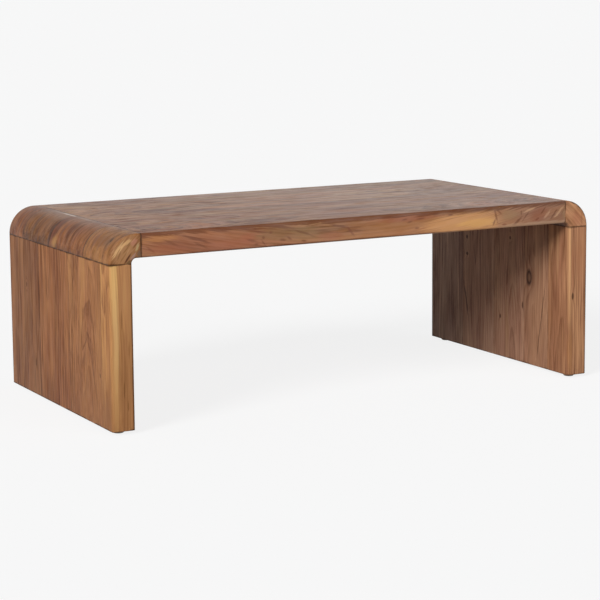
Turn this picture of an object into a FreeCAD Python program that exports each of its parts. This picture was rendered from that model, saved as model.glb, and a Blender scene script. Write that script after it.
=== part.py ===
# Waterfall coffee table: a solid wood slab that turns down at both ends into slab legs.
#
# Frame: +X along the length, +Y from front to back, +Z up, in millimetres.
# The origin is on the floor, under the middle of the top.
#
# The top, the corners and the legs are glued up from boards of uneven width. Each rounded corner
# is a block of its own, and rows of fluted dowels in blind bores join it to the top and to the leg.
# A fine V-groove marks each of those joints. Nail-on glides keep the leg ends off the floor.

import FreeCAD, Part
import math
import os

# Overall sizes
LENGTH = 1220.0
WIDTH = 600.0
HEIGHT = 425.0
SLAB_THICKNESS = 52.0

# Rounded corners: outside radius, and the straight run from the bend to the joint with the top
CORNER_RADIUS = 63.0
LEFT_CORNER_RUN = 10.0
RIGHT_CORNER_RUN = 1.0

# Eased edges: a round-over planed in facets along front and back, a bevel round each joint and foot
ARRIS_RADIUS = 5.0
ARRIS_FACETS = 3
SEAM_BEVEL = 0.8

# Boards from front to back, as shares of the width
TOP_BOARD_SHARES = (0.167, 0.263, 0.223, 0.139, 0.208)
LEFT_CORNER_SHARES = (0.240, 0.330, 0.277, 0.153)
RIGHT_CORNER_SHARES = (0.133, 0.325, 0.292, 0.250)
LEFT_LEG_SHARES = (0.085, 0.302, 0.300, 0.313)
RIGHT_LEG_SHARES = (0.137, 0.163, 0.217, 0.233, 0.250)

# Fluted dowels: two in a stave wider than TWO_DOWEL_WIDTH, one in a narrower stave
DOWEL_DIAMETER = 10.0
DOWEL_LENGTH = 50.0
DOWEL_END_BEVEL = 1.2
FLUTE_COUNT = 8
FLUTE_DEPTH = 0.6
DOWEL_CLEARANCE = 0.1
DOWEL_END_GAP = 0.8
TWO_DOWEL_WIDTH = 180.0

# Glides: a moulded foot round the head of a nail, both drawn many-sided to keep their faces few
GLIDE_SIDES = 32
NAIL_SIDES = 12
GLIDE_DIAMETER = 28.0
GLIDE_HEIGHT = 8.0
GLIDE_EDGE_BEVEL = 2.0
GLIDE_INSET = 32.0
NAIL_DIAMETER = 2.2
NAIL_DEPTH = 16.0
NAIL_POINT_LENGTH = 3.0
NAIL_HEAD_DIAMETER = 9.0
NAIL_HEAD_THICKNESS = 1.2
NAIL_HEAD_COVER = 1.6
NAIL_CLEARANCE = 0.1

# Places worked out from the sizes
FRONT = -WIDTH / 2
BACK = WIDTH / 2
LEFT_END = -LENGTH / 2
SLAB_MIDDLE = SLAB_THICKNESS / 2
BEND_X = LEFT_END + CORNER_RADIUS
BEND_Z = HEIGHT - CORNER_RADIUS

ORIGIN = FreeCAD.Vector(0, 0, 0)
ALONG_X = FreeCAD.Vector(1, 0, 0)
ALONG_Y = FreeCAD.Vector(0, 1, 0)
ALONG_Z = FreeCAD.Vector(0, 0, 1)
RIGHT_ANGLE = 90
FULL_TURN = 360


# Glued-up slabs


def slab_section():
    """The slab's full cross-section at z = 0: x from its outer face inwards, y across the table."""
    corners = (
        (ARRIS_RADIUS, FRONT + ARRIS_RADIUS),
        (SLAB_THICKNESS - ARRIS_RADIUS, FRONT + ARRIS_RADIUS),
        (SLAB_THICKNESS - ARRIS_RADIUS, BACK - ARRIS_RADIUS),
        (ARRIS_RADIUS, BACK - ARRIS_RADIUS),
    )
    points = []
    for quarter, (x, y) in enumerate(corners, start=2):
        for i in range(ARRIS_FACETS + 1):
            angle = math.radians(RIGHT_ANGLE * (quarter + i / ARRIS_FACETS))
            round_x = x + ARRIS_RADIUS * math.cos(angle)
            round_y = y + ARRIS_RADIUS * math.sin(angle)
            points.append(FreeCAD.Vector(round_x, round_y, 0))
    return Part.Face(Part.makePolygon(points + points[:1]))


def bevel_end(solid, point, normal):
    """Bevels every edge of the end face that lies in the given plane."""

    def in_plane(edge):
        return all(abs((v.Point - point).dot(normal)) < SEAM_BEVEL / 10 for v in edge.Vertexes)

    return solid.makeChamfer(SEAM_BEVEL, [edge for edge in solid.Edges if in_plane(edge)])


def strips(shares):
    """Front and back edge of each board, from the front of the table to its back."""
    edges = [FRONT]
    for share in shares:
        edges.append(edges[-1] + WIDTH * share / sum(shares))
    return list(zip(edges, edges[1:]))


def rip(blank, shares):
    """Cuts a glued-up slab into its boards, which then meet face to face."""
    boards = []
    for front, back in strips(shares):
        corner = FreeCAD.Vector(-LENGTH, front, -HEIGHT)
        cutter = Part.makeBox(2 * LENGTH, back - front, 3 * HEIGHT, corner)
        boards.append(blank.common(cutter).Solids[0])
    return boards


def leg_blank():
    """The left leg's slab, from its foot to the joint under the corner."""
    foot = FreeCAD.Vector(LEFT_END, 0, GLIDE_HEIGHT)
    joint = FreeCAD.Vector(LEFT_END, 0, BEND_Z)
    section = slab_section()
    section.translate(foot)
    slab = section.extrude(joint - foot)
    slab = bevel_end(slab, foot, ALONG_Z)
    return bevel_end(slab, joint, ALONG_Z)


def corner_blank(run):
    """The left corner block: a quarter turn of the slab, and a straight run up to the top's end."""
    leg_joint = FreeCAD.Vector(LEFT_END, 0, BEND_Z)
    bend = FreeCAD.Vector(BEND_X, 0, BEND_Z)
    top_joint = FreeCAD.Vector(BEND_X + run, 0, BEND_Z)
    section = slab_section()
    section.translate(leg_joint)
    turned = section.revolve(bend, ALONG_Y, RIGHT_ANGLE)
    section.rotate(bend, ALONG_Y, RIGHT_ANGLE)
    straight = section.extrude(ALONG_X * run)
    block = turned.fuse(straight).removeSplitter().Solids[0]
    block = bevel_end(block, leg_joint, ALONG_Z)
    return bevel_end(block, top_joint, ALONG_X)


def top_blank():
    """The top's slab, between the two corner blocks."""
    left_joint = FreeCAD.Vector(BEND_X + LEFT_CORNER_RUN, 0, HEIGHT)
    right_joint = FreeCAD.Vector(-BEND_X - RIGHT_CORNER_RUN, 0, HEIGHT)
    section = slab_section()
    section.rotate(ORIGIN, ALONG_Y, RIGHT_ANGLE)
    section.translate(left_joint)
    slab = section.extrude(right_joint - left_joint)
    slab = bevel_end(slab, left_joint, ALONG_X)
    return bevel_end(slab, right_joint, ALONG_X)


# Dowelled joints


def dowel_rows(stave_shares):
    """Where the dowels stand across the table: evenly within each stave of a corner block."""
    rows = []
    for front, back in strips(stave_shares):
        width = back - front
        count = 2 if width > TWO_DOWEL_WIDTH else 1
        rows.extend(front + width * (2 * i + 1) / (2 * count) for i in range(count))
    return rows


def leg_dowel_places(rows):
    return [FreeCAD.Vector(LEFT_END + SLAB_MIDDLE, y, BEND_Z) for y in rows]


def top_dowel_places(rows, run):
    return [FreeCAD.Vector(BEND_X + run, y, HEIGHT - SLAB_MIDDLE) for y in rows]


def bored(blank, places, axis):
    """The blank with a bore for each dowel, long enough for a dowel centred on its joint."""
    length = DOWEL_LENGTH + 2 * DOWEL_END_GAP
    radius = DOWEL_DIAMETER / 2 + DOWEL_CLEARANCE
    for place in places:
        blank = blank.cut(Part.makeCylinder(radius, length, place - axis * (length / 2), axis))
    return blank


def dowel_section(radius, z):
    """A ring of ridges and flutes at the given height, as wide as its ridges."""
    points = []
    for i in range(2 * FLUTE_COUNT):
        angle = math.radians(FULL_TURN * i / (2 * FLUTE_COUNT))
        reach = radius - FLUTE_DEPTH * (i % 2)
        points.append(FreeCAD.Vector(reach * math.cos(angle), reach * math.sin(angle), z))
    return Part.makePolygon(points + points[:1])


def dowel_pin():
    """One fluted dowel with bevelled ends, centred on the origin along z."""
    radius = DOWEL_DIAMETER / 2
    half = DOWEL_LENGTH / 2
    sections = [
        dowel_section(radius - DOWEL_END_BEVEL, -half),
        dowel_section(radius, -half + DOWEL_END_BEVEL),
        dowel_section(radius, half - DOWEL_END_BEVEL),
        dowel_section(radius - DOWEL_END_BEVEL, half),
    ]
    return Part.makeLoft(sections, True, True)


def dowels(places, axis):
    """A row of dowels, one at each place, turned to lie along the axis."""
    turn = FreeCAD.Rotation(ALONG_Z, axis)
    pin = dowel_pin()
    row = []
    for place in places:
        copy = pin.copy()
        copy.Placement = FreeCAD.Placement(place, turn)
        row.append(copy)
    return Part.makeCompound(row)


# Glides


def ring(diameter, sides, z):
    """A regular polygon of the given width across its corners, level at the given height."""
    radius = diameter / 2
    points = []
    for i in range(sides):
        angle = math.radians(FULL_TURN * i / sides)
        points.append(FreeCAD.Vector(radius * math.cos(angle), radius * math.sin(angle), z))
    return Part.makePolygon(points + points[:1])


def disc(diameter, sides, z, height):
    return Part.Face(ring(diameter, sides, z)).extrude(ALONG_Z * height)


def glide_nail():
    """A nail standing on its head at the height that the glide holds it, point up."""
    head_top = NAIL_HEAD_COVER + NAIL_HEAD_THICKNESS
    shoulder = GLIDE_HEIGHT + NAIL_DEPTH - NAIL_POINT_LENGTH
    tip = Part.Vertex(0, 0, shoulder + NAIL_POINT_LENGTH)
    head = disc(NAIL_HEAD_DIAMETER, NAIL_SIDES, NAIL_HEAD_COVER, NAIL_HEAD_THICKNESS)
    shank = disc(NAIL_DIAMETER, NAIL_SIDES, head_top, shoulder - head_top)
    point = Part.makeLoft([ring(NAIL_DIAMETER, NAIL_SIDES, shoulder), tip], True, True)
    return head.fuse([shank, point]).removeSplitter().Solids[0]


def glide_foot():
    """The glide's moulded body, with a bevelled lower rim, closed round the head of its nail."""
    foot = disc(GLIDE_DIAMETER, GLIDE_SIDES, 0, GLIDE_HEIGHT)
    rim = [edge for edge in foot.Edges if edge.BoundBox.ZMax < GLIDE_HEIGHT / 2]
    return foot.makeChamfer(GLIDE_EDGE_BEVEL, rim).cut(glide_nail())


def glide_places():
    """The left leg's two glides: in the middle of the slab, near its front and its back."""
    x = LEFT_END + SLAB_MIDDLE
    return {
        "front": FreeCAD.Vector(x, FRONT + GLIDE_INSET, 0),
        "back": FreeCAD.Vector(x, BACK - GLIDE_INSET, 0),
    }


def nail_bored(blank):
    """The leg with a hole for each glide's nail."""
    width = NAIL_DIAMETER + 2 * NAIL_CLEARANCE
    length = GLIDE_HEIGHT + NAIL_DEPTH + NAIL_CLEARANCE
    for place in glide_places().values():
        hole = disc(width, NAIL_SIDES, 0, length)
        hole.translate(place)
        blank = blank.cut(hole)
    return blank


# Assembly


def mirrored(shape):
    """The right-hand counterpart of a left-hand shape."""
    return shape.mirror(ORIGIN, ALONG_X)


def same(shape):
    return shape


def end_pieces(side, place, corner_shares, leg_shares, run):
    """One end of the table: leg boards, corner staves, dowels and glides, built at the left end."""
    rows = dowel_rows(corner_shares)
    leg_places = leg_dowel_places(rows)
    top_places = top_dowel_places(rows, run)
    leg = nail_bored(bored(leg_blank(), leg_places, ALONG_Z))
    corner = bored(corner_blank(run), leg_places, ALONG_Z)
    corner = bored(corner, top_places, ALONG_X)
    pieces = {}
    for number, board in enumerate(rip(leg, leg_shares), start=1):
        pieces[f"{side}_leg_board_{number}"] = place(board)
    for number, stave in enumerate(rip(corner, corner_shares), start=1):
        pieces[f"{side}_corner_stave_{number}"] = place(stave)
    pieces[f"{side}_leg_dowels"] = place(dowels(leg_places, ALONG_Z))
    pieces[f"{side}_top_dowels"] = place(dowels(top_places, ALONG_X))
    nails = []
    for where, spot in glide_places().items():
        foot = glide_foot()
        foot.translate(spot)
        pieces[f"{side}_{where}_glide"] = place(foot)
        nail = glide_nail()
        nail.translate(spot)
        nails.append(place(nail))
    return pieces, nails


def top_pieces():
    """The top's boards, bored at both ends for the dowels of the corner blocks."""
    left = top_dowel_places(dowel_rows(LEFT_CORNER_SHARES), LEFT_CORNER_RUN)
    right = top_dowel_places(dowel_rows(RIGHT_CORNER_SHARES), RIGHT_CORNER_RUN)
    right = [FreeCAD.Vector(-place.x, place.y, place.z) for place in right]
    slab = bored(top_blank(), left + right, ALONG_X)
    boards = enumerate(rip(slab, TOP_BOARD_SHARES), start=1)
    return {f"top_board_{number}": board for number, board in boards}


def main():
    pieces = top_pieces()
    left, left_nails = end_pieces(
        "left", same, LEFT_CORNER_SHARES, LEFT_LEG_SHARES, LEFT_CORNER_RUN
    )
    right, right_nails = end_pieces(
        "right", mirrored, RIGHT_CORNER_SHARES, RIGHT_LEG_SHARES, RIGHT_CORNER_RUN
    )
    pieces.update(left)
    pieces.update(right)
    pieces["glide_nails"] = Part.makeCompound(left_nails + right_nails)
    os.makedirs("parts", exist_ok=True)
    for name, shape in pieces.items():
        shape.exportStep(f"parts/{name}.step")
        print(name, "solids", len(shape.Solids), "valid", shape.isValid(), "mm3", round(shape.Volume))


main()
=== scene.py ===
# %% [markdown]
# # A waterfall coffee table in solid wood
# The table is one thick slab that turns down at both ends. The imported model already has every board,
# stave, dowel and glide at its real size, so this lesson is about wood: how to model planed boards
# with soft edges, how to paint them so that they look sawn from a log on all of their faces, and how
# to light a satin finish.

# %% Load the frame
import math
from functools import partial

import bmesh
import bpy
from mathutils import Euler, Matrix, Vector


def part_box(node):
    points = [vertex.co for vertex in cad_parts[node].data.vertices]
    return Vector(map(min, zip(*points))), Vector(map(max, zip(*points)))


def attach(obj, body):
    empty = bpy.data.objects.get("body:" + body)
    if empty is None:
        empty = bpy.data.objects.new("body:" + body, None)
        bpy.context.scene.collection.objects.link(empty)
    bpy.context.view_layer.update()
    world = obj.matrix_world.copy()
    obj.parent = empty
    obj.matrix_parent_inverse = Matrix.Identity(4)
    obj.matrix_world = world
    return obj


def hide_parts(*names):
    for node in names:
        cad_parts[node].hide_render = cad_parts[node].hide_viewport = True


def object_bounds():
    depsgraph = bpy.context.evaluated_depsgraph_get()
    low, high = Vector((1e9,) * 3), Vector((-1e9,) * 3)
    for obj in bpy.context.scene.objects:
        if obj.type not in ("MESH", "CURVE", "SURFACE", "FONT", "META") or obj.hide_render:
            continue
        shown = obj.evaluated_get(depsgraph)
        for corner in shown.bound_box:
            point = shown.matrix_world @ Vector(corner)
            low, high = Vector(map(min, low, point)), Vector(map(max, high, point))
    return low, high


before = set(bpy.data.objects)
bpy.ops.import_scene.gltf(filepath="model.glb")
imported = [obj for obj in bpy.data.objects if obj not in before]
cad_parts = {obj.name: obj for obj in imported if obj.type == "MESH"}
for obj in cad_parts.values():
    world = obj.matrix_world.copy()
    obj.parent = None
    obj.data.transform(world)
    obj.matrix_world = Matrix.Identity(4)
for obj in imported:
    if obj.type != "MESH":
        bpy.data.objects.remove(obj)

CAD_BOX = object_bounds()
MM = 0.001
scene = bpy.context.scene
scene.view_settings.view_transform = "Standard"
print("nodes:", len(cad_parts))
print("table in mm:", [round(side / MM) for side in CAD_BOX[1] - CAD_BOX[0]])

# %% [markdown]
# ## Making a piece
# Every piece is drawn in a bmesh at its place in the table. Planed wood has broad smooth faces that
# meet at crisp lines, so faces are shaded smooth and edges over a set angle are marked sharp. The
# piece then takes the place of its node and follows the table.

# %% Turn a bmesh into a piece
SHARP_ANGLE = math.radians(35)


def make_piece(shape, name, node):
    """Stores a finished bmesh as a piece that stands for the node."""
    bmesh.ops.recalc_face_normals(shape, faces=shape.faces)
    mesh = bpy.data.meshes.new(name)
    shape.to_mesh(mesh)
    shape.free()
    mesh.shade_smooth()
    mesh.set_sharp_from_angle(angle=SHARP_ANGLE)
    piece = bpy.data.objects.new(name, mesh)
    scene.collection.objects.link(piece)
    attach(piece, "root")
    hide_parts(node)
    return piece


# %% [markdown]
# ## Straight boards
# A board of the top or of a leg is a box. A plane and sandpaper have taken its outer edges to a soft
# round, called an eased arris, but only along the front and back of the table: the other long edges
# are glued to the next board. Where a board meets a corner block, a fine V-groove hides any step. One
# bevel operator makes both.

# %% Straight boards
TABLE_FRONT, TABLE_BACK = CAD_BOX[0].y, CAD_BOX[1].y
ARRIS = 5 * MM
ARRIS_STEPS = 6
JOINT_BEVEL = 0.8 * MM
JOINT_STEPS = 2
NEAR = 0.01 * MM


def at_table_edge(point):
    return min(abs(point.y - TABLE_FRONT), abs(point.y - TABLE_BACK)) < NEAR


def bevel(shape, geometry, width, steps, affect="EDGES"):
    bmesh.ops.bevel(
        shape,
        geom=geometry,
        offset=width,
        segments=steps,
        profile=0.5,
        affect=affect,
        material=-1,
    )


def bevel_joint(shape, axis, level, glued):
    """Bevels the rim of an end face, but not where it runs along a glued face."""

    def on_rim(edge):
        at_level = all(abs(v.co[axis] - level) < NEAR for v in edge.verts)
        along_glue = any(all(abs(v.co.y - y) < NEAR for v in edge.verts) for y in glued)
        return at_level and not along_glue

    rim = [edge for edge in shape.edges if on_rim(edge)]
    bevel(shape, rim, JOINT_BEVEL, JOINT_STEPS)


def glued_faces(node):
    """Where the board is glued to its neighbours: its front and back, but not the table's own."""
    low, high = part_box(node)
    return [y for y in (low.y, high.y) if not at_table_edge(Vector((0, y, 0)))]


def straight_board(node, grain_axis):
    """A planed board of the top or a leg, with its arrises eased and its ends bevelled."""
    low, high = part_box(node)
    box = Matrix.Translation((low + high) / 2) @ Matrix.Diagonal((*(high - low), 1))
    shape = bmesh.new()
    bmesh.ops.create_cube(shape, size=1, matrix=box)
    arrises = []
    for edge in shape.edges:
        first, second = edge.verts
        runs_along = abs(first.co[grain_axis] - second.co[grain_axis]) > NEAR
        if runs_along and at_table_edge(first.co):
            arrises.append(edge)
    bevel(shape, arrises, ARRIS, ARRIS_STEPS)
    for level in (low[grain_axis], high[grain_axis]):
        bevel_joint(shape, grain_axis, level, glued_faces(node))
    return make_piece(shape, f"{node}_planed", node)


X_AXIS, Y_AXIS, Z_AXIS = range(3)
pieces = {}
for node in sorted(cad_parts):
    if node.startswith("top_board"):
        pieces[node] = straight_board(node, X_AXIS)
    elif "leg_board" in node:
        pieces[node] = straight_board(node, Z_AXIS)
print("straight boards:", len(pieces))

# %% [markdown]
# ## Corner staves
# Each rounded corner is a solid block sawn and sanded to a quarter round, not bent wood. Its section
# is the slab's, so a rectangle with its outer corners rounded is spun by a quarter turn about the
# middle of the bend. A short straight run then reaches the joint with the top.

# %% Corner staves
BEND_STEPS = 32
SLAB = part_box("left_leg_board_1")[1].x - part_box("left_leg_board_1")[0].x


def corner_stave(node):
    """A quarter round with a short straight run, from the leg's joint to the top's."""
    low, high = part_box(node)
    side = 1 if node.startswith("left") else -1
    radius = high.z - low.z
    outer = low.x if side > 0 else high.x
    bend = Vector((outer + side * radius, 0, low.z))
    joint = high.x if side > 0 else low.x
    shape = bmesh.new()
    rectangle = ((0, low.y), (SLAB, low.y), (SLAB, high.y), (0, high.y))
    corners = [shape.verts.new((outer + side * x, y, low.z)) for x, y in rectangle]
    shape.faces.new(corners)
    bevel(shape, [v for v in corners if at_table_edge(v.co)], ARRIS, ARRIS_STEPS, "VERTICES")
    rim = list(shape.edges)
    bmesh.ops.delete(shape, geom=list(shape.faces), context="FACES_ONLY")
    spun = bmesh.ops.spin(
        shape,
        geom=rim,
        cent=bend,
        axis=(0, side, 0),
        angle=math.radians(90),
        steps=BEND_STEPS,
        use_duplicate=False,
    )
    end_rim = [e for e in spun["geom_last"] if isinstance(e, bmesh.types.BMEdge)]
    run = bmesh.ops.extrude_edge_only(shape, edges=end_rim)
    moved = [v for v in run["geom"] if isinstance(v, bmesh.types.BMVert)]
    bmesh.ops.translate(shape, verts=moved, vec=(joint - bend.x, 0, 0))
    bmesh.ops.holes_fill(shape, edges=shape.edges, sides=0)
    bmesh.ops.recalc_face_normals(shape, faces=shape.faces)
    bevel_joint(shape, Z_AXIS, low.z, glued_faces(node))
    bevel_joint(shape, X_AXIS, joint, glued_faces(node))
    return make_piece(shape, f"{node}_rounded", node)


for node in sorted(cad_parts):
    if "corner_stave" in node:
        pieces[node] = corner_stave(node)
print("boards and staves:", len(pieces))

# %% [markdown]
# ## Glides
# A nail-on glide is a button of moulded plastic with a nail in it. It lifts the end grain off the
# floor and slides without scratching. Its half-outline is a few points, and a full spin turns it into
# a button. Bevels then round the two rims that a mould would round.

# %% Glides
GLIDE_TURNS = 48
GLIDE_RIM = 1.2 * MM
GLIDE_RIM_STEPS = 3
# Shares of the radius and the height: the flat foot, and where the side turns upright
FOOT_SHARE, WAIST_SHARE = 0.78, 0.55


def glide(node):
    """A moulded button under a leg, with its two lower rims rounded."""
    low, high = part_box(node)
    middle = (low + high) / 2
    radius = (high.x - low.x) / 2
    foot = radius * FOOT_SHARE
    waist = low.z + (high.z - low.z) * WAIST_SHARE
    shape = bmesh.new()
    outline = ((0, low.z), (foot, low.z), (radius, waist), (radius, high.z), (0, high.z))
    points = [shape.verts.new((middle.x + reach, middle.y, z)) for reach, z in outline]
    for first, second in zip(points, points[1:]):
        shape.edges.new((first, second))
    bmesh.ops.spin(
        shape,
        geom=list(shape.edges),
        cent=middle,
        axis=(0, 0, 1),
        angle=math.radians(360),
        steps=GLIDE_TURNS,
        use_merge=True,
    )
    bmesh.ops.remove_doubles(shape, verts=shape.verts, dist=NEAR)

    def on_rim(edge):
        level = edge.verts[0].co.z
        flat = abs(level - edge.verts[1].co.z) < NEAR
        wide = all((v.co.xy - middle.xy).length > foot - NEAR for v in edge.verts)
        return flat and wide and level < high.z - NEAR

    bevel(shape, [edge for edge in shape.edges if on_rim(edge)], GLIDE_RIM, GLIDE_RIM_STEPS)
    return make_piece(shape, f"{node}_moulded", node)


glides = [glide(node) for node in sorted(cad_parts) if node.endswith("_glide")]
print("glides:", len(glides), "with", len(glides[0].data.polygons), "faces each")

# %% [markdown]
# ## Helpers for materials
# A listed colour is an sRGB value, and shader nodes work with linear light, so one function
# turns hex into linear. Another adds a node: its keyword settings are the node's own properties, and
# its sockets get either a fixed value or a link from an earlier node.

# %% Colour and node helpers


def linear(hex_colour):
    """A linear RGBA colour from an sRGB hex string such as "8a5a3c"."""
    channels = [int(hex_colour[i : i + 2], 16) / 255 for i in (0, 2, 4)]
    curve = [c / 12.92 if c <= 0.04045 else ((c + 0.055) / 1.055) ** 2.4 for c in channels]
    return (*curve, 1.0)


def add_node(tree, kind, sockets=None, **settings):
    """Adds one shader node, sets its properties, and fills its sockets with values or links."""
    made = tree.nodes.new(f"ShaderNode{kind}")
    for name, value in settings.items():
        setattr(made, name, value)
    for name, value in (sockets or {}).items():
        if isinstance(value, bpy.types.Node):
            value = value.outputs[0]
        if isinstance(value, bpy.types.NodeSocket):
            tree.links.new(value, made.inputs[name])
        else:
            made.inputs[name].default_value = value
    return made


def new_material(name):
    """An empty node material, and add_node bound to its tree."""
    material = bpy.data.materials.new(name)
    material.use_nodes = True
    material.node_tree.nodes.clear()
    return material, partial(add_node, material.node_tree)


print("mid brown in linear light:", [round(c, 3) for c in linear("8a5a3c")[:3]])

# %% [markdown]
# ## Where each board lay in the tree
# Wood is a stack of cones round the pith, the centre of the trunk. If the pattern is a distance from
# a line in space, every face of a board is cut through the same rings, and the grain meets at the
# edges by itself. So each board gets its own coordinates: u along the grain, v across the board and
# w out through its face, with the pith as the line v = w = 0. Slow noise then bends them, because no
# trunk is straight.

# %% Board coordinates
TURNS = {"top": 0, "left_leg": 90, "left_corner": 45, "right_leg": -90, "right_corner": -45}
# Length and width of the bends in the trunk, and how far they reach
BENDS_MM = {"top": (420, 90, 26), "leg": (380, 80, 20), "corner": (150, 55, 12)}
GREY = (0.5, 0.5, 0.5)


def family(node):
    return node.rsplit("_", 2)[0]


def kind_of_board(node):
    return family(node).split("_")[-1]


def board_frame(node, pith, dive, slope):
    """Rotation and shift from the table's frame to a board's own u, v, w in metres."""
    low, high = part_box(node)
    turn = TURNS[family(node)]
    across, depth = pith
    outward = Matrix.Rotation(math.radians(turn), 3, "Y").transposed() @ Vector((0, 0, 1))
    heart = (low + high) / 2 + Vector((0, across * MM, 0)) - outward * depth * MM
    turned = Euler((0, math.radians(turn + dive), math.radians(slope)))
    return turned, -(turned.to_matrix() @ heart)


def drawn_out(add, place, lengths_mm, detail=2.0):
    """Noise whose blots are as long as given along each of the three axes."""
    units = tuple(1 / (length * MM) for length in lengths_mm)
    scaled = add("VectorMath", {0: place, 1: units}, operation="MULTIPLY")
    return add("TexNoise", {"Vector": scaled, "Scale": 1.0, "Detail": detail, "Roughness": 0.58})


def bent_trunk(add, node, board, spot):
    """The place in the log, bowed by the board's crook and pushed about by slow noise."""
    turned, shift = board_frame(node, board["pith"], board["dive"], board["slope"])
    straight = add("Mapping", {"Vector": spot, "Location": shift, "Rotation": turned})
    along = add("SeparateXYZ", {"Vector": straight}).outputs["X"]
    square = add("Math", {0: along, 1: along}, operation="MULTIPLY")
    bow = add("Math", {0: square, 1: -board["crook"]}, operation="MULTIPLY")
    moved = add("CombineXYZ", {"X": board["seed"], "Z": bow})
    place = add("VectorMath", {0: straight, 1: moved}, operation="ADD")
    length, width, reach = BENDS_MM[kind_of_board(node)]
    slow = drawn_out(add, place, (length, width, width)).outputs["Color"]
    push = add("VectorMath", {0: slow, 1: GREY}, operation="SUBTRACT")
    reaches = (reach * MM, reach * MM, reach * MM)
    return add("VectorMath", {0: push, 1: reaches, 2: place}, operation="MULTIPLY_ADD")


print("top board 3 is shifted by", board_frame("top_board_3", (0, 60), 0, 0)[1])

# %% [markdown]
# ## Rings, fibres and clouds
# Five patterns make the figure. Noise in the distance from the pith alone gives good and bad years,
# and each ring ends in a dark line of late wood. Noise drawn out along the grain gives fibres, and a
# coarser one gives ribbons of fibres that lean the same way. A broad noise gives the heartwood its
# clouds. They add up to one number, the tone, from dark to light.

# %% Patterns of the grain
YEARS_MM = 26
RING_MM = 6.5
# Shares of a ring: where it starts to darken, where it is darkest, and where the dark stops
LATE_FROM, LATE_FULL, LATE_STOP = 0.45, 0.92, 0.94
# How far apart two boards start in the noise of the years, so that none has the same ones
YEARS_APART = 7.3
# Length and width. Real fibres are a tenth of a millimetre wide; these are as fine as shows.
FIBRE_MM = (110, 2.2, 2.2)
RIBBON_MM = {"top": (300, 8, 8), "leg": (150, 6, 6), "corner": (120, 11, 11)}
CLOUD_MM = (260, 50, 50)
FIGURE = {
    "top": {"years": 1.5, "clouds": 0.9, "ribbons": 1.3, "fibres": 1.2, "late": -0.35},
    "leg": {"years": 0.75, "clouds": 1.0, "ribbons": 1.0, "fibres": 1.4, "late": -0.3},
    "corner": {"years": 0.7, "clouds": 1.3, "ribbons": 2.2, "fibres": 0.9, "late": -0.15},
}


def pith_distance(add, bent):
    """Distance from the pith in metres."""
    across = add("VectorMath", {0: bent, 1: (0, 1, 1)}, operation="MULTIPLY")
    return add("VectorMath", {0: across}, operation="LENGTH").outputs["Value"]


def years(add, distance, seed):
    """Bands of tint that depend on the ring alone."""
    scale, start = 1 / (YEARS_MM * MM), YEARS_APART * seed
    count = add("Math", {0: distance, 1: scale, 2: start}, operation="MULTIPLY_ADD")
    sockets = {"W": count, "Scale": 1.0, "Detail": 4.0, "Roughness": 0.62}
    return add("TexNoise", sockets, noise_dimensions="1D").outputs[0]


def late_wood(add, distance, bands):
    """Thin lines: each ring darkens slowly outwards and stops short."""
    scale = 1 / (RING_MM * MM)
    count = add("Math", {0: distance, 1: scale, 2: bands}, operation="MULTIPLY_ADD")
    part = add("Math", {0: count}, operation="FRACT")
    rise = add("MapRange", {"Value": part, "From Min": LATE_FROM, "From Max": LATE_FULL})
    stop = add("MapRange", {"Value": part, "From Min": 1.0, "From Max": LATE_STOP})
    return add("Math", {0: rise, 1: stop}, operation="MULTIPLY")


def figure(add, weights, patterns):
    """The tone, about 0 for the darkest wood to 1 for the lightest, 0.5 on average."""
    average = {name: 0.25 if name == "late" else 0.5 for name in weights}
    tone = 0.5 - sum(weights[name] * average[name] for name in weights)
    for name, pattern in patterns.items():
        tone = add("Math", {0: pattern, 1: weights[name], 2: tone}, operation="MULTIPLY_ADD")
    return tone


print("ring width", RING_MM, "mm, fibres", FIBRE_MM, "mm")

# %% [markdown]
# ## Knots and stains
# A knot is where a branch left the trunk: a dark plug with the rings swept round it. Pushing the ring
# distance near it bends the grain, and a dark rim round a heart that may be browner finishes it. A
# stain is a patch of another colour: pale sapwood, a mineral streak, or painted shade or a painted
# highlight along an edge. Its border is ragged, because colour creeps along the fibres. Both are
# ellipsoids, given by a place, a reach along each axis and a turn, so they are cut by a board's faces
# as the rings are. Places and reaches are in millimetres, and turns in degrees.

# %% Knots and stains
KNOT_COLOUR = "2c1a12"
# A ramp counts in double reaches, so that a knot's border is at 0.5: where its heart ends, where its
# rim is darkest, and where the shade has faded
HEART_END, RIM_AT, FADED_AT = 0.14, 0.38, 0.64
# How far out a knot pushes the rings, in its own reaches
SWEEP_REACHES = 4.0
# Numbers of the Mix node's sockets for colours
MIX_FACTOR, MIX_FIRST, MIX_SECOND, MIX_RESULT = 0, 6, 7, 2


def knot(at, reach, turn=(0, 0, 0), sweep=5, heart=0.7, rim=0.75):
    """A knot that pushes the rings by its sweep, with how dark its heart and its rim are."""
    place = {"at": at, "reach": reach, "turn": turn}
    return place | {"sweep": sweep, "heart": heart, "rim": rim}


def stain(tint, cover, at, reach, turn=(0, 0, 0), soft=0.35, ragged=2.2):
    """A patch of a tint, with how well it covers and how soft and ragged its border is."""
    place = {"at": at, "reach": reach, "turn": turn}
    return place | {"tint": tint, "cover": cover, "soft": soft, "ragged": ragged}


def in_reaches(add, spot, blot):
    """Distance from the middle of a knot or stain, counted in its own reaches."""
    sockets = {
        "Vector": spot,
        "Location": tuple(x * MM for x in blot["at"]),
        "Rotation": tuple(math.radians(angle) for angle in blot["turn"]),
        "Scale": tuple(x * MM for x in blot["reach"]),
    }
    local = add("Mapping", sockets, vector_type="TEXTURE")
    return add("VectorMath", {0: local}, operation="LENGTH").outputs["Value"]


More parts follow.
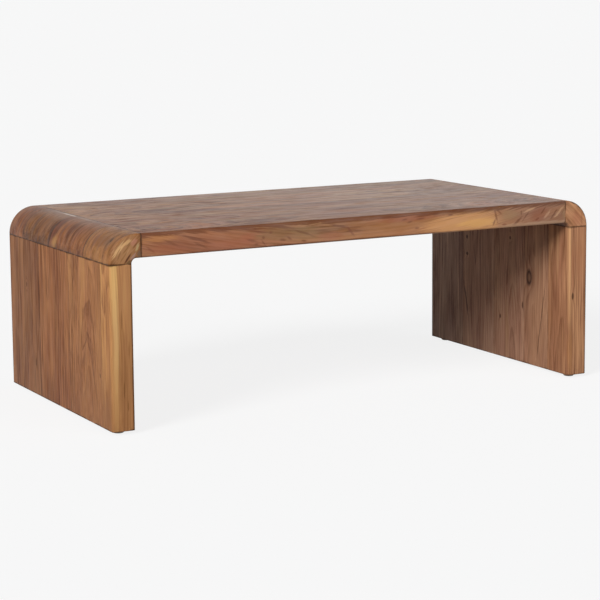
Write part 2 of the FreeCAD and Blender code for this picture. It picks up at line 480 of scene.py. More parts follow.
def with_stains(add, colour, spot, fibres, stains):
    """The colour with each stain laid over the ones before it."""
    for patch in stains:
        near = in_reaches(add, spot, patch)
        frayed = add("Math", {0: fibres, 1: patch["ragged"], 2: near}, operation="MULTIPLY_ADD")
        border = 1 + patch["ragged"] / 2
        ends = {"From Min": border + patch["soft"], "From Max": border - patch["soft"]}
        sockets = {"Value": frayed, **ends, "To Max": patch["cover"]}
        cover = add("MapRange", sockets, interpolation_type="SMOOTHSTEP")
        sockets = {MIX_FACTOR: cover, MIX_FIRST: colour, MIX_SECOND: linear(patch["tint"])}
        colour = add("Mix", sockets, data_type="RGBA").outputs[MIX_RESULT]
    return colour


def swept_round(add, distance, near, sweep_mm):
    """The ring distance, pushed outwards round a knot."""
    ends = {"From Min": SWEEP_REACHES, "From Max": 0.0, "To Max": sweep_mm * MM}
    push = add("MapRange", {"Value": near, **ends}, interpolation_type="SMOOTHSTEP")
    return add("Math", {0: distance, 1: push}, operation="ADD")


def with_knot(add, colour, near, branch):
    """A dark rim that fades outwards, round a heart that may be lighter."""
    half = add("Math", {0: near, 1: 0.5}, operation="MULTIPLY")
    ramp = add("ValToRGB", {"Fac": half})
    heart, outside = ramp.color_ramp.elements
    heart.position, heart.color = HEART_END, (*[branch["heart"]] * 3, 1)
    outside.position, outside.color = FADED_AT, (0, 0, 0, 1)
    ramp.color_ramp.elements.new(RIM_AT).color = (*[branch["rim"]] * 3, 1)
    sockets = {MIX_FACTOR: ramp.outputs["Color"], MIX_FIRST: colour, MIX_SECOND: linear(KNOT_COLOUR)}
    return add("Mix", sockets, data_type="RGBA").outputs[MIX_RESULT]


print("a stain has", ", ".join(stain("caa06b", 0.5, (0, 0, 0), (1, 1, 1))))

# %% [markdown]
# ## Seams and joints
# Between two boards the glue line is a hair of shade, finest on the top. The V-grooves of the corner
# joints are painted dark and uneven, and an uneven line of painted shadow runs along a leg's foot.

# %% Seams and joints
# Colour of the glue lines, the dark joints and the painted shadow at a leg's foot
LINE_AND_SHADE_COLOUR = "362114"
SEAM_MM = {"top": 1.2, "leg": 2.0, "corner": 2.2}
JOINT_MM = 2.6
# Width of the painted shadow at a leg's foot
FOOT_SHADE_MM = 4.0
JOINT_STRENGTH = {"left": 0.9, "top": 0.8, "right": 0.7}
WEAR_MM = (28, 28, 28)


def worn(add, spot):
    """How wide a line is at each place, 0.5 on average."""
    wear = drawn_out(add, spot, WEAR_MM, 3.0).outputs[0]
    ends = {"From Min": 0.34, "From Max": 0.66, "To Min": 0.1, "To Max": 0.9}
    return add("MapRange", {"Value": wear, **ends})


def with_lines(add, colour, axis, levels, spot, wear, width_mm, strength):
    """Dark lines where the board meets a neighbour, or painted shadow at its foot, of uneven width."""
    along = add("SeparateXYZ", {"Vector": spot}).outputs[axis]
    for level in levels:
        apart = add("Math", {0: along, 1: level}, operation="SUBTRACT")
        gap = add("Math", {0: apart}, operation="ABSOLUTE")
        uneven = add("Math", {0: gap, 1: wear}, operation="DIVIDE")
        # Wear is 0.5 on average, so twice the width here gives the width asked for
        ends = {"From Min": 0, "From Max": 2 * width_mm * MM, "To Min": strength, "To Max": 0}
        cover = add("MapRange", {"Value": uneven, **ends}, interpolation_type="SMOOTHSTEP")
        sockets = {MIX_FACTOR: cover, MIX_FIRST: colour, MIX_SECOND: linear(LINE_AND_SHADE_COLOUR)}
        colour = add("Mix", sockets, data_type="RGBA").outputs[MIX_RESULT]
    return colour


def joint_levels(node, axis):
    """Where the board's ends meet a corner block along the axis."""
    low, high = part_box(node)
    left = node.startswith("left")
    ends = {
        ("top", X_AXIS): [low.x, high.x],
        ("leg", Z_AXIS): [high.z],
        ("corner", X_AXIS): [high.x if left else low.x],
        ("corner", Z_AXIS): [low.z],
    }
    return ends.get((kind_of_board(node), axis), [])


print("seams shaded over", SEAM_MM, "mm, joints over", JOINT_MM, "mm")

# %% [markdown]
# ## Oiled hardwood
# The table is solid tropical hardwood, amber to umber, planed, sanded and oiled. Oil leaves the pores
# open, so the wood shows its full colour head on and only a grey sheen at low angles. Late wood is
# darker and redder than a board's own colour, early wood lighter and yellower, and the clouds drift
# a little in hue.

# %% Solid wood material
LATE_TINT = (0.50, 0.43, 0.40)
EARLY_TINT = (1.45, 1.50, 1.50)
HUE_DRIFT = {"top": 0.016, "corner": 0.008, "leg": 0.006}
# Roughness where fibres are smooth and where they are open: a top is rubbed smoother than a leg
ROUGHNESS = {"top": (0.30, 0.44), "corner": (0.32, 0.46), "leg": (0.42, 0.55)}
# Lowest and highest specular level: fibres that lean one way or the other take the oil in patches
SHEEN = {"top": (0.03, 0.28), "corner": (0.05, 0.15), "leg": (0.03, 0.07)}
MOTTLE_MM = (60, 12, 12)
RELIEF_MM = 0.3
OIL_IOR = 1.45


def tinted(colour, tint):
    return (*(c * t for c, t in zip(colour, tint)), 1.0)


def grain_colour(add, tone, clouds, own, drift):
    """The board's own colour, darker and lighter with the tone, and drifting in hue."""
    ramp = add("ValToRGB", {"Fac": tone})
    dark, light = ramp.color_ramp.elements
    dark.position, dark.color = 0.08, tinted(own, LATE_TINT)
    light.position, light.color = 0.92, tinted(own, EARLY_TINT)
    ramp.color_ramp.elements.new(0.5).color = own
    ends = {"From Min": 0.25, "From Max": 0.75, "To Min": 0.5 - drift, "To Max": 0.5 + drift}
    hue = add("MapRange", {"Value": clouds, **ends})
    return add("HueSaturation", {"Hue": hue, "Color": ramp.outputs["Color"]})


def with_seams(add, colour, node, board, spot):
    """The colour with the lines of a board's seams and joints, and painted shadow at a leg's foot."""
    kind = kind_of_board(node)
    wear = worn(add, spot)
    seams = glued_faces(node)
    colour = with_lines(add, colour, Y_AXIS, seams, spot, wear, SEAM_MM[kind], board["seam"])
    strength = JOINT_STRENGTH[node.split("_")[0]]
    for axis in (X_AXIS, Z_AXIS):
        ends = joint_levels(node, axis)
        colour = with_lines(add, colour, axis, ends, spot, wear, JOINT_MM, strength)
    # A leg's foot gets a painted shadow where it stands
    if kind == "leg":
        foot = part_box(node)[0].z
        colour = with_lines(add, colour, Z_AXIS, [foot], spot, wear, FOOT_SHADE_MM, strength)
    return colour


def satin_finish(add, colour, kind, bent, fibres):
    """Oil over the colour: duller on open fibres, shinier in patches, and with a faint relief."""
    smooth, open_pored = ROUGHNESS[kind]
    ends = {"From Min": 0.3, "From Max": 0.7, "To Min": open_pored, "To Max": smooth}
    roughness = add("MapRange", {"Value": fibres, **ends})
    dull, shiny = SHEEN[kind]
    mottle = drawn_out(add, bent, MOTTLE_MM, 4.0).outputs[0]
    ends = {"From Min": 0.38, "From Max": 0.62, "To Min": dull, "To Max": shiny}
    gloss = add("MapRange", {"Value": mottle, **ends})
    relief = add("Bump", {"Height": fibres, "Strength": 0.12, "Distance": RELIEF_MM * MM})
    sockets = {"Base Color": colour, "Roughness": roughness, "Normal": relief}
    return add("BsdfPrincipled", {**sockets, "IOR": OIL_IOR, "Specular IOR Level": gloss})


def oiled_hardwood(node, board):
    """The board's own wood: rings, fibres, knots, stains, seams and a satin finish."""
    material, add = new_material(f"oiled_hardwood_{node}")
    kind = kind_of_board(node)
    spot = add("TexCoord").outputs["Object"]
    bent = bent_trunk(add, node, board, spot)
    distance = pith_distance(add, bent)
    knots = []
    for branch in KNOTS.get(node, ()):
        near = in_reaches(add, spot, branch)
        distance = swept_round(add, distance, near, branch["sweep"])
        knots.append((near, branch))
    bands = years(add, distance, board["seed"])
    fibres = drawn_out(add, bent, FIBRE_MM, 3.0).outputs[0]
    clouds = drawn_out(add, bent, CLOUD_MM, 3.0).outputs[0]
    patterns = {
        "years": bands,
        "clouds": clouds,
        "ribbons": drawn_out(add, bent, RIBBON_MM[kind], 3.0).outputs[0],
        "fibres": fibres,
        "late": late_wood(add, distance, bands),
    }
    weights = {name: weight * board["lively"] for name, weight in FIGURE[kind].items()}
    tone = figure(add, weights, patterns)
    colour = grain_colour(add, tone, clouds, linear(board["colour"]), HUE_DRIFT[kind])
    colour = with_stains(add, colour, spot, fibres, STAINS.get(node, ()))
    for near, branch in knots:
        colour = with_knot(add, colour, near, branch)
    colour = with_seams(add, colour, node, board, spot)
    finish = satin_finish(add, colour, kind, bent, fibres)
    add("OutputMaterial", {"Surface": finish})
    return material


print("late wood tint", LATE_TINT, "early wood tint", EARLY_TINT)

# %% [markdown]
# ## Which board is which
# Each board has its own colour and its own place in the log, so no two have the same figure. The pith
# is given by how far it lies to the back of the board's middle and how far behind its face. A dive
# tilts the grain through the face, which draws the pointed arches of a flat-sawn board. A slope turns
# it across the face. A crook bows the whole log, so that the grain slants on the board's edges. The
# seam says how dark its glue lines are, and lively how strong its figure is.

# %% Boards of the top
SEAM_STRENGTH = 0.35
DARK_SEAM = 0.7


def describe(colour, pith, dive, slope, seam=SEAM_STRENGTH, crook=0, lively=1):
    """What sets one board apart, as explained above."""
    board = {"colour": colour, "pith": pith, "dive": dive, "slope": slope}
    return board | {"seam": seam, "crook": crook, "lively": lively}


BOARDS = {
    "top_board_1": describe("8b5e44", (12, 170), 0.6, 1.0, crook=0.26),
    "top_board_2": describe("895c3e", (-20, 85), -0.5, 0.4, crook=0.1),
    "top_board_3": describe("8f6549", (15, 70), 0.4, -0.6, crook=-0.12),
    "top_board_4": describe("946849", (-8, 55), -0.8, 0.5, crook=0.15),
    "top_board_5": describe("895f42", (25, 90), 0.3, -0.4, crook=-0.08),
}
print("top boards:", len(BOARDS))

# %% Boards of the legs
BOARDS |= {
    "left_leg_board_1": describe("a57449", (0, 120), 0.6, 0.6, crook=0.15),
    "left_leg_board_2": describe("936340", (-9, 52.4), -4.0, 0.5),
    "left_leg_board_3": describe("885839", (30, 95), 0.5, -0.5, DARK_SEAM),
    "left_leg_board_4": describe("805539", (-25, 110), -0.6, 0.8, DARK_SEAM),
    "right_leg_board_1": describe("9d6f50", (0, 100), 0.5, 0.5),
    "right_leg_board_2": describe("a0765b", (10, 85), 1.0, -0.5, lively=0.75),
    "right_leg_board_3": describe("9b735b", (-15, 60), 2.0, 0.5, lively=0.75),
    "right_leg_board_4": describe("9c7660", (10, 70), -1.0, 0.4, lively=0.75),
    "right_leg_board_5": describe("987764", (-10, 90), 0.6, -0.4),
}
print("with leg boards:", len(BOARDS))

# %% Corner staves
BOARDS |= {
    "left_corner_stave_1": describe("8b5c36", (150, 10), 2.0, 1.0, DARK_SEAM, lively=0.75),
    "left_corner_stave_2": describe("7c4b2a", (-190, 20), -2.0, 1.5, DARK_SEAM, lively=0.8),
    "left_corner_stave_3": describe("693f21", (170, 0), 1.0, -1.0, DARK_SEAM, lively=1.2),
    "left_corner_stave_4": describe("7c4c2d", (130, 30), 2.0, 0.0, DARK_SEAM, lively=0.8),
    "right_corner_stave_1": describe("ab7855", (120, 20), 2.0, 1.0, DARK_SEAM),
    "right_corner_stave_2": describe("95684b", (-190, 60), -2.0, 1.5, DARK_SEAM),
    "right_corner_stave_3": describe("8a5f45", (180, 0), 1.0, -1.0, DARK_SEAM),
    "right_corner_stave_4": describe("8f6549", (160, 20), 2.0, 0.0, DARK_SEAM),
}
print("boards and staves described:", len(BOARDS))

# %% [markdown]
# ## Knots
# Boards from a plantation are short on clear wood, so knots stay in. The large one on the inside of
# the right leg is a branch cut straight across. The others are pin knots, dark almost right through.

# %% Where the knots are
KNOTS = {
    "left_leg_board_2": [knot((-610, -238, 119), (15, 2, 5))],
    "left_leg_board_4": [
        knot((-610, 190, 257), (20, 2.5, 6)),
        knot((-610, 142, 83), (15, 2.5, 8)),
    ],
    "left_corner_stave_1": [knot((-588, -264, 410), (7, 3.5, 6), (0, -45, 0))],
    "right_leg_board_1": [knot((570, -300, 197), (3, 15, 8))],
    "right_leg_board_2": [knot((558, -140, 222), (30, 11, 19), sweep=9, heart=0.35, rim=0.92)],
    "right_leg_board_3": [
        knot((558, -113, 150), (12, 2.5, 8)),
        knot((558, -18, 109), (12, 3.5, 5)),
        knot((558, -59, 310), (12, 3, 4)),
    ],
    "right_leg_board_4": [
        knot((558, 132, 291), (12, 4, 5)),
        knot((558, 131, 248), (12, 5, 4)),
    ],
}
print("knots:", sum(len(group) for group in KNOTS.values()))

# %% [markdown]
# ## Stains
# The front edge of the top is the liveliest part. Its left third has slanting dark lines, its middle
# a greenish swirl, then comes a bright band of sapwood that ends in a ragged line, and beyond it
# brown wood with pale slanting streaks. Small nicks and pores lie in between. Its arrises carry
# painted shade, and the lower one a painted highlight at the right; other outer arrises of the table
# carry painted shade too. The left corner has a painted sheen and glints at its joint with the top,
# and both corners have painted shade inside the bend.

# %% Stains along the top's front edge
# Nicks and pores: how far along and up the edge they are, their length, width and lean
NICKS = [
    (-278, 391, 11, 2.2, 12),
    (-267, 382, 5, 2, 0),
    (-258, 408, 14, 2, 8),
    (-250, 395, 3, 3, 0),
    (-250, 384, 8, 2, 54),
    (-232, 405, 4, 3, 0),
    (-203, 387, 6, 2.4, 8),
    (-187, 390, 6, 2.2, 35),
    (-151, 381, 5, 2, 10),
    (106, 411, 7, 2, -8),
    (119, 404, 6, 2, -12),
    (138, 389, 5, 2, 0),
    (148, 410, 9, 2, -5),
    (190, 417, 9, 2.4, -8),
    (227, 413, 6, 2.2, -6),
]


def on_front(tint, cover, along, up, reach, lean=0, **border):
    """A stain on the front of the table, leaning by so many degrees."""
    return stain(tint, cover, (along, TABLE_FRONT / MM, up), reach, (0, lean, 0), **border)


STAINS = {
    "top_board_1": [
        # The left third
        on_front("965f42", 0.55, -400, 396, (150, 12, 50), soft=0.5, ragged=1.0),
        on_front("b27a4c", 0.6, -500, 411, (45, 12, 7)),
        on_front("6e4330", 0.75, -411, 404, (36, 12, 2.8), 18),
        on_front("70452f", 0.6, -398, 389, (20, 12, 2.6), 25),
        on_front("70452f", 0.5, -465, 398, (22, 12, 2.8), 27),
        on_front("6e3f2c", 0.5, -515, 388, (11, 12, 2.4), 33),
        on_front("95583f", 0.45, -475, 387, (40, 12, 9)),
        on_front("a2644a", 0.45, -329, 386, (60, 12, 9)),
        on_front("9e5d45", 0.45, -287, 398, (18, 12, 8)),
        # The greenish middle
        on_front("85613f", 0.65, -220, 398, (42, 12, 14)),
        on_front("8f6c49", 0.6, -152, 398, (34, 12, 13)),
        on_front("6a4630", 0.65, -149, 398, (26, 12, 2.6), 18),
        on_front("9d6247", 0.5, -82, 387, (32, 12, 9)),
        # The sapwood
        on_front("b07a4f", 0.6, 130, 395, (165, 14, 45)),
        on_front("6a4230", 0.65, -64, 408, (22, 12, 3), 12),
        on_front("7a4c38", 0.65, -34, 395, (14, 12, 3), 50),
        on_front("cc9563", 0.85, 280, 391, (115, 14, 24)),
        on_front("d9a462", 0.6, 305, 390, (50, 14, 9)),
        on_front("93563e", 0.65, 110, 414, (85, 10, 8)),
        # The brown end with its streaks
        on_front("a3785c", 0.62, 455, 398, (104, 14, 60), soft=0.1, ragged=0.7),
        on_front("7c5038", 0.7, 351, 403, (2.6, 12, 15), -15, ragged=3.0),
        on_front("7c5038", 0.65, 346, 388, (2.4, 12, 8), 25),
        on_front("7c5038", 0.6, 360, 411, (2.4, 12, 9), -50),
        on_front("9a7a58", 0.5, 390, 403, (22, 12, 12), ragged=3.0),
        on_front("8e5440", 0.5, 472, 400, (22, 12, 15), -20, soft=0.6, ragged=4.0),
        on_front("70442f", 0.75, 413, 388, (12, 12, 3), -35),
        on_front("70442f", 0.7, 434, 397, (13, 12, 1.8), -48),
        on_front("70442f", 0.7, 483, 407, (11, 12, 1.8), -50),
        on_front("70442f", 0.7, 512, 395, (13, 12, 2), -50),
        on_front("70442f", 0.65, 541, 404, (10, 12, 1.8), -55),
        on_front("70442f", 0.65, 421, 405, (1.8, 12, 6)),
        on_front("7a432f", 0.65, 374, 381, (6, 12, 2.4)),
        on_front("7a432f", 0.6, 402, 379, (5, 12, 2.2)),
        on_front("7a432f", 0.6, 466, 388, (5, 12, 2.4), -30),
        on_front("a07a58", 0.6, 550, 400, (12, 12, 20)),
        on_front("c89b76", 0.65, 445, 411, (16, 10, 2.6), -17),
        on_front("c89c76", 0.65, 527, 400, (18, 10, 2.6), -45),
        on_front("c29778", 0.6, 495, 398, (12, 10, 2.8), -45),
        # A painted highlight along the lower arris, the floor's light reflected in it
        on_front("bb9a7c", 0.5, 460, 376, (110, 8, 5.5), ragged=1.8),
        # Nicks, and painted shade on the lower and upper arrises
        *(on_front("6e4230", 0.6, along, up, (long, 12, wide), lean, soft=0.7)
          for along, up, long, wide, lean in NICKS),
        on_front("4d2e1e", 0.6, -105, 373, (440, 6, 4), ragged=0.8),
        on_front("663c28", 0.8, 0, 429, (2000, 7, 13), soft=0.25),
    ],
}
print("stains on the front edge:", len(STAINS["top_board_1"]))

# %% Stains on the top's back edge and on the legs
# Painted shade for outer arrises that turn away from the light
ARRIS_SHADE = "4d3324"

STAINS |= {
    # Painted shade along the top's back arris
    "top_board_5": [stain("5a3d2c", 0.6, (0, 300, 427), (2000, 6, 7), ragged=0.8)],
    "left_leg_board_1": [
        on_front("9f6f47", 0.6, -570, 150, (20, 6, 220), soft=0.6),
        on_front("b07d53", 0.6, -574, 330, (20, 6, 90), soft=0.6),
        stain("85593a", 0.7, (-610, -278, 10), (20, 45, 130), soft=0.6),
        stain("7d5433", 0.5, (-610, -276, 235), (5, 2, 50)),
        # Pale sapwood along the front arris, bright enough to paint the arris's highlight as well
        on_front("b58352", 0.6, -601, 43, (7, 6, 60), soft=1.0),
        on_front("c4945f", 0.7, -601, 117, (5.5, 6, 75), soft=1.0),
        on_front("caa06b", 0.75, -598, 202, (5, 6, 75), soft=1.0),
        on_front("caa06b", 0.75, -599, 269, (5, 6, 65), soft=1.0),
        on_front("d6aa6c", 0.8, -601, 345, (6.5, 6, 65), soft=1.0),
        on_front("6b4426", 0.6, -582, 95, (1.5, 6, 14)),
        on_front("6b4426", 0.5, -573, 60, (1.4, 6, 12)),
        on_front("70482a", 0.5, -569, 185, (1.6, 6, 24)),
        on_front("70482a", 0.45, -585, 245, (1.4, 6, 20)),
        on_front("bb8c5a", 0.45, -577, 300, (3, 6, 40)),
        # Painted shade along the inner front arris
        on_front("462a1b", 0.7, -558, 186, (5, 6, 300), ragged=0.8),
    ],
    "left_leg_board_2": [
        stain("b48252", 0.4, (-610, -150, 335), (6, 16, 60)),
        stain("a5744a", 0.5, (-610, -255, 230), (6, 32, 200), soft=0.8),
        stain("6d442a", 0.75, (-610, -154, 172), (6, 2.6, 22), (43, 0, 0)),
        stain("6d442a", 0.8, (-610, -180, 170), (6, 2.8, 23), (-34, 0, 0)),
        stain("6d442a", 0.75, (-610, -203, 112), (6, 2.8, 48), (-15, 0, 0)),
        stain("6d442a", 0.6, (-610, -132, 122), (6, 2.6, 38), (12, 0, 0)),
        stain("85593d", 0.35, (-610, -165, 10), (10, 100, 120), soft=0.6),
    ],
    # Painted shade along the back arris
    "left_leg_board_4": [stain(ARRIS_SHADE, 0.6, (-610, 300, 186), (5, 6, 300), ragged=0.8)],
    "right_leg_board_1": [
        on_front("9a6445", 0.45, 570, 269, (3, 6, 60)),
        on_front("b27c58", 0.5, 592, 300, (12, 6, 80)),
        # Pale sapwood beside the inner front arris, bright enough to paint the arris's highlight as
        # well
        on_front("d2a172", 0.5, 560.5, 310, (2.6, 6, 60), soft=0.8, ragged=4.0),
        on_front("d2a172", 0.55, 560.5, 231, (2.4, 6, 50), soft=0.8, ragged=4.0),
        on_front("c89868", 0.4, 561, 174, (3, 6, 45), soft=0.8, ragged=4.0),
        on_front("b07d50", 0.5, 563, 61, (6, 6, 50)),
        # Painted shade along the outer front arris
        on_front(ARRIS_SHADE, 0.8, 610, 186, (5, 6, 300), ragged=0.8),
        # Painted shade on the lower, lit part of the inside face
        stain("7e5339", 0.4, (558, -250, 90), (10, 60, 170), soft=0.6),
        stain("b08560", 0.4, (558, -256, 300), (4, 6, 60)),
    ],
    "right_leg_board_2": [
        # Painted shade on the lower, lit part of the inside face
        stain("7a533c", 0.4, (558, -170, 50), (10, 75, 150), soft=0.6),
        stain("4f3328", 0.4, (558, -214, 330), (4, 7, 60)),
        stain("4a3024", 0.6, (558, -188, 110), (6, 2, 105), (10, 0, 0)),
    ],
    "right_leg_board_3": [stain("9a7350", 0.35, (558, -47, 78), (4, 7, 70))],
    "right_leg_board_4": [
        stain("2e1f18", 0.6, (558, 134, 126), (6, 3, 52), (-14, 0, 0)),
        stain("2e1f18", 0.55, (558, 157, 33), (6, 2.6, 22)),
    ],
    "right_leg_board_5": [stain("2e1f18", 0.6, (558, 300, 186), (6, 6, 300), ragged=0.8)],
}
print("boards with stains:", len(STAINS))

# %% Stains on the corners
# Degrees up from the leg at which the stretches of painted shade on a bend lie
BEND_STRETCHES = range(10, 90, 20)


def painted_bend_shade(node, y):
    """Painted shade on a corner's outer arris at the front or back of the table, all round the bend.
    """
    low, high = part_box(node)
    side = 1 if node.startswith("left") else -1
    outer = low.x if side > 0 else high.x
    radius = high.z - low.z
    stretches = []
    for degrees in BEND_STRETCHES:
        angle = math.radians(degrees)
        x = outer + side * radius * (1 - math.cos(angle))
        at = Vector((x, y, low.z + radius * math.sin(angle))) / MM
        lean = (0, side * (degrees - 90), 0)
        stretches.append(stain(ARRIS_SHADE, 0.8, at, (14, 6, 4), lean, ragged=0.8))
    return stretches


STAINS |= {
    "left_corner_stave_1": [
        on_front("ab7e55", 0.75, -575, 388, (36, 8, 24), -50, soft=0.5),
        on_front("d2a673", 0.8, -588, 393, (20, 8, 4.5), -48),
        on_front("cca06c", 0.7, -569, 407, (13, 8, 4), -25),
        on_front("7d5636", 0.7, -587, 382, (10, 8, 1.7), -65),
        on_front("8a5f38", 0.65, -590, 388, (12, 8, 1.3), -57),
        on_front("7d5636", 0.7, -565, 404, (8, 8, 1.6), -48),
        on_front("b07560", 0.6, -553, 407, (8, 8, 5), -40),
        on_front("74492f", 0.75, -551, 400, (9, 8, 1.9), -50),
        on_front("b39a6c", 0.7, -546, 396, (9, 8, 3), -65),
        on_front("4f2a1c", 0.85, -568, 374, (15, 8, 2.3), -52),
        on_front("a58479", 0.6, -556, 377, (10, 8, 2.6), -50),
        on_front("5a4a30", 0.6, -566, 366, (7, 8, 3), -30),
        on_front("6f5a48", 0.7, -542, 382, (4, 8, 6)),
        # Painted shade inside the bend
        on_front(ARRIS_SHADE, 0.75, -554.5, 369.5, (9, 6, 2.4), -45, ragged=0.8),
        on_front(ARRIS_SHADE, 0.65, -541, 373, (7, 6, 2.2), ragged=0.8),
        on_front("b98d62", 0.6, -572, 384, (13, 8, 1.6), -50),
        on_front("77502f", 0.6, -577, 378, (14, 8, 1.4), -52),
        on_front("77502f", 0.55, -570, 394, (12, 8, 1.4), -48),
        stain("74492f", 0.55, (-592, -222, 402), (16, 46, 15)),
        stain("5e4734", 0.5, (-592, -258, 406), (13, 15, 13), soft=0.8),
    ],
    "left_corner_stave_2": [
        # Painted sheen on the high part of the bend, and a painted highlight along the joint's arris
        stain("a5826c", 0.3, (-556, -58, 430), (26, 120, 15), soft=0.6),
        stain("b59885", 0.5, (-545, -10, 425), (4, 50, 6), soft=0.6),
        stain("4a2a16", 0.22, (-610, -40, 364), (10, 84, 8)),
        stain("4a2c1a", 0.8, (-588, -154.5, 392), (45, 2.4, 45), soft=0.5, ragged=1.2),
        stain("5a3822", 0.5, (-600, -140, 388), (22, 1.8, 24)),
        stain("ad8046", 0.6, (-608, 14, 376), (7, 12, 13), soft=0.8),
    ],
    "left_corner_stave_3": [
        # Painted sheen on the high part of the bend, and painted glints along the joint's arris
        stain("a5826c", 0.45, (-556, 126, 430), (26, 110, 15), soft=0.6),
        stain("b59885", 0.5, (-545, 100, 425), (4, 60, 6), soft=0.6),
        stain("dcc8ba", 0.8, (-544, 95, 425), (3.5, 14, 6), soft=0.6),
        stain("dcc8ba", 0.8, (-544, 60, 425), (3.5, 18, 6), soft=0.6),
        stain("462a14", 0.38, (-610, 125, 366), (10, 90, 15)),
        stain("4a2f20", 0.85, (-599, 49, 398), (16, 8, 16)),
        stain("4a2f20", 0.75, (-608, 47, 380), (10, 5.5, 18)),
        stain("50341f", 0.5, (-603, 150, 391), (14, 8, 14)),
        stain("4d3120", 0.6, (-605, 204, 383), (12, 6, 14)),
    ],
    "right_corner_stave_1": [
        on_front("c08c62", 0.45, 562, 405, (12, 8, 18)),
        on_front("a8674a", 0.35, 579, 382, (12, 8, 16), soft=0.7),
        on_front("8a5a3c", 0.4, 593, 382, (2, 8, 22), soft=0.6),
        # Painted shade inside the bend, under the top
        stain("4f3227", 0.85, (552, -252, 367), (16, 49, 13), soft=0.5, ragged=1.0),
        *painted_bend_shade("right_corner_stave_1", TABLE_FRONT),
    ],
    "left_corner_stave_4": painted_bend_shade("left_corner_stave_4", TABLE_BACK),
}
print("boards and staves with stains:", len(STAINS))

# %% Paint the boards
for seed, (node, board) in enumerate(BOARDS.items(), start=1):
    board["seed"] = seed
    pieces[node].data.materials.append(oiled_hardwood(node, board))
print("boards and staves painted:", len(BOARDS))

# %% [markdown]
# ## Plastic, beech and steel
# The small parts are ordinary ones. A glide is moulded plastic: a fine spark-eroded grain from the
# mould, darker towards the bottom. The dowels are bare beech with short dark flecks, and the
# nails are bright drawn steel with lengthwise drawing marks. Dowels and nails stay inside the wood.

# %% Small parts
PLASTIC_GRAIN_MM = 0.8
UPRIGHT_FLECK_MM, LEVEL_FLECK_MM = (0.8, 0.8, 6), (6, 0.8, 0.8)
DRAWN_LINE_MM = (0.2, 0.2, 8)


def moulded_plastic():
    material, add = new_material("moulded_brown_plastic")
    spot = add("TexCoord").outputs["Object"]
    grain = add("TexNoise", {"Vector": spot, "Scale": 1 / (PLASTIC_GRAIN_MM * MM), "Detail": 2.0})
    height = add("SeparateXYZ", {"Vector": spot}).outputs["Z"]
    # Darker over the lowest 2 mm
    ends = {"From Min": 0, "From Max": 2 * MM, "To Min": 0.75, "To Max": 0}
    towards_bottom = add("MapRange", {"Value": height, **ends}, interpolation_type="SMOOTHSTEP")
    ramp = add("ValToRGB", {"Fac": grain})
    ramp.color_ramp.elements[0].color = linear("84705e")
    ramp.color_ramp.elements[1].color = linear("a28c76")
    sockets = {MIX_FACTOR: towards_bottom, MIX_FIRST: ramp.outputs["Color"], MIX_SECOND: linear("4a443f")}
    colour = add("Mix", sockets, data_type="RGBA").outputs[MIX_RESULT]
    relief = add("Bump", {"Height": grain, "Strength": 0.2, "Distance": 0.1 * MM})
    sockets = {"Base Color": colour, "Normal": relief, "Roughness": 0.55, "IOR": 1.5}
    add("OutputMaterial", {"Surface": add("BsdfPrincipled", sockets)})
    return material


def beech_dowel(name, fleck_mm):
    material, add = new_material(name)
    spot = add("TexCoord").outputs["Object"]
    flecks = drawn_out(add, spot, fleck_mm)
    ramp = add("ValToRGB", {"Fac": flecks})
    ramp.color_ramp.elements[0].color = linear("b48a63")
    ramp.color_ramp.elements[1].color = linear("dcb78e")
    relief = add("Bump", {"Height": flecks, "Strength": 0.2, "Distance": 0.1 * MM})
    sockets = {"Base Color": ramp.outputs["Color"], "Normal": relief, "Roughness": 0.6, "IOR": 1.5}
    add("OutputMaterial", {"Surface": add("BsdfPrincipled", sockets)})
    return material


def drawn_steel():
    material, add = new_material("bright_drawn_steel")
    spot = add("TexCoord").outputs["Object"]
    lines = drawn_out(add, spot, DRAWN_LINE_MM)
    ends = {"From Min": 0.3, "From Max": 0.7, "To Min": 0.25, "To Max": 0.42}
    roughness = add("MapRange", {"Value": lines, **ends})
    ramp = add("ValToRGB", {"Fac": lines})
    ramp.color_ramp.elements[0].color = linear("a9a9a6")
    ramp.color_ramp.elements[1].color = linear("c9c9c6")
    sockets = {"Base Color": ramp.outputs["Color"], "Roughness": roughness, "Metallic": 1.0}
    add("OutputMaterial", {"Surface": add("BsdfPrincipled", sockets)})
    return material


plastic = moulded_plastic()
for button in glides:
    button.data.materials.append(plastic)
upright_beech = beech_dowel("beech_dowel_upright", UPRIGHT_FLECK_MM)
level_beech = beech_dowel("beech_dowel_level", LEVEL_FLECK_MM)
small_parts = {
    "left_leg_dowels": upright_beech,
    "right_leg_dowels": upright_beech,
    "left_top_dowels": level_beech,
    "right_top_dowels": level_beech,
    "glide_nails": drawn_steel(),
}
for node, material in small_parts.items():
    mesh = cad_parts[node].data
    mesh.materials.clear()
    mesh.materials.append(material)
print("small parts:", len(glides) + len(small_parts))

# %% [markdown]
# ## The camera
# The camera stands in front of the table, to the left and a little above the top, with a long lens.
# The table's corners in the picture give its place, and the shift puts the picture's centre where it
# belongs without tilting the lens.

# %% Camera
CAMERA_AT_MM = (-2142, -3946, 945.5)
CAMERA_YAW, CAMERA_PITCH, CAMERA_ROLL = 27.37, 8.16, -0.63
FOCAL_PIXELS = 1927.6
PICTURE_PIXELS = 600
CENTRE_PIXELS = (261.8, 255.5)

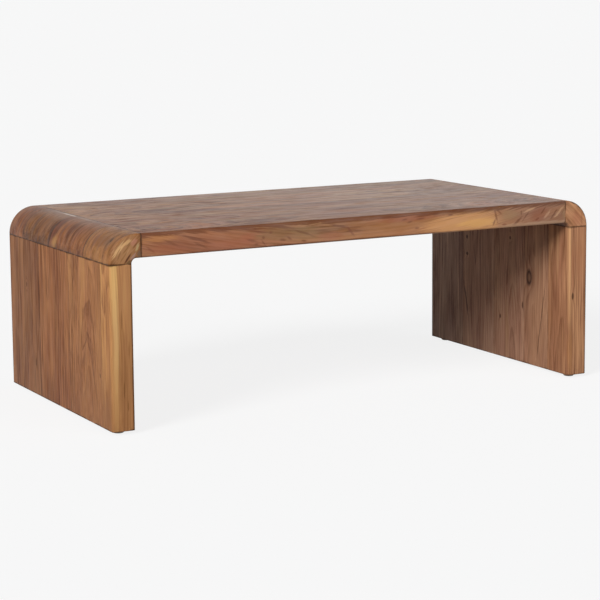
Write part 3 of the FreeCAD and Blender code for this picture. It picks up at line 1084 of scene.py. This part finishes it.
lens = bpy.data.cameras.new("front_left_camera")
lens.sensor_width = 36
lens.lens = FOCAL_PIXELS * lens.sensor_width / PICTURE_PIXELS
lens.shift_x = 0.5 - CENTRE_PIXELS[0] / PICTURE_PIXELS
lens.shift_y = CENTRE_PIXELS[1] / PICTURE_PIXELS - 0.5
camera = bpy.data.objects.new("front_left_camera", lens)
camera.location = Vector(CAMERA_AT_MM) * MM
aim = Matrix.Rotation(math.radians(-CAMERA_YAW), 4, "Z")
aim = aim @ Matrix.Rotation(math.radians(90 - CAMERA_PITCH), 4, "X")
aim = aim @ Matrix.Rotation(math.radians(CAMERA_ROLL), 4, "Z")
camera.rotation_euler = aim.to_euler()
scene.collection.objects.link(camera)
scene.camera = camera
print("lens:", round(lens.lens, 1), "mm, shift", round(lens.shift_x, 3), round(lens.shift_y, 3))

# %% [markdown]
# ## Studio floor
# The floor is a sheet of pale paper that runs past the horizon. Cameras and shiny surfaces see it
# almost white, with a little plain shading mixed in that keeps the table's soft shadow. For light
# that bounces off it, it is a duller grey, so that it doesn't fill the shade under the top.

# %% Floor
FLOOR_REACH = 200
PAPER = "f7f7f7"
PAPER_GLOW = 1.075
SHADOW_SHARE = 0.16
BOUNCE = "dcdfe3"

ground = bmesh.new()
bmesh.ops.create_grid(ground, x_segments=1, y_segments=1, size=FLOOR_REACH)
floor_mesh = bpy.data.meshes.new("studio_floor")
ground.to_mesh(floor_mesh)
ground.free()
floor = bpy.data.objects.new("studio_floor", floor_mesh)
scene.collection.objects.link(floor)


def seen_directly(add):
    """1 for camera, glossy and transmission rays, 0 for the light that spreads."""
    ray = add("LightPath").outputs
    shiny = add("Math", {0: ray["Is Glossy Ray"], 1: ray["Is Transmission Ray"]}, operation="MAXIMUM")
    return add("Math", {0: ray["Is Camera Ray"], 1: shiny}, operation="MAXIMUM")


paper, add = new_material("pale_paper")
glow = add("Emission", {"Color": linear(PAPER), "Strength": PAPER_GLOW})
shaded = add("BsdfDiffuse", {"Color": linear(PAPER)})
pale = add("MixShader", {"Fac": SHADOW_SHARE, 1: glow, 2: shaded})
bounce = add("BsdfDiffuse", {"Color": linear(BOUNCE)})
sheet = add("MixShader", {"Fac": seen_directly(add), 1: bounce, 2: pale})
add("OutputMaterial", {"Surface": sheet})
floor_mesh.materials.append(paper)
print("floor", 2 * FLOOR_REACH, "m wide")

# %% [markdown]
# ## Light
# A broad key light from the left rakes along the legs and under the top. A weaker one from the right
# fills the front, and a dim world fills the rest. Together they light the front at about the level at
# which a colour renders as it was written: for one sun lamp head on, that is a strength of pi.

# %% World and lamps
ROOM_LIGHT = "eff3f8"
WALL_LEVEL = 0.50
CEILING_LEVEL = 0.01
FULL_LIGHT = math.pi

world = bpy.data.worlds.new("studio")
world.use_nodes = True
world.node_tree.nodes.clear()
add = partial(add_node, world.node_tree)
backdrop = add("Background", {"Color": linear(PAPER), "Strength": 1.0})
direction = add("TexCoord").outputs["Generated"]
height = add("SeparateXYZ", {"Vector": direction}).outputs["Z"]
ends = {"From Min": 0, "From Max": 1, "To Min": WALL_LEVEL, "To Max": CEILING_LEVEL}
level = add("MapRange", {"Value": height, **ends})
room = add("Background", {"Color": linear(ROOM_LIGHT), "Strength": level})
around = add("MixShader", {"Fac": seen_directly(add), 1: room, 2: backdrop})
add("OutputWorld", {"Surface": around})
scene.world = world

# Each lamp: degrees to the left of straight in front, degrees above the floor, width in degrees,
# and share of full light
LAMPS = {
    "key_light": (64, 26.7, 22, 0.87),
    "front_fill": (-30, 10, 40, 0.354),
}
for name, (left, above, width, share) in LAMPS.items():
    lamp = bpy.data.lights.new(name, "SUN")
    lamp.energy = share * FULL_LIGHT
    lamp.angle = math.radians(width)
    holder = bpy.data.objects.new(name, lamp)
    swing = Matrix.Rotation(math.radians(-left), 4, "Z")
    holder.rotation_euler = (swing @ Matrix.Rotation(math.radians(90 - above), 4, "X")).to_euler()
    scene.collection.objects.link(holder)
print("lamps:", ", ".join(LAMPS))
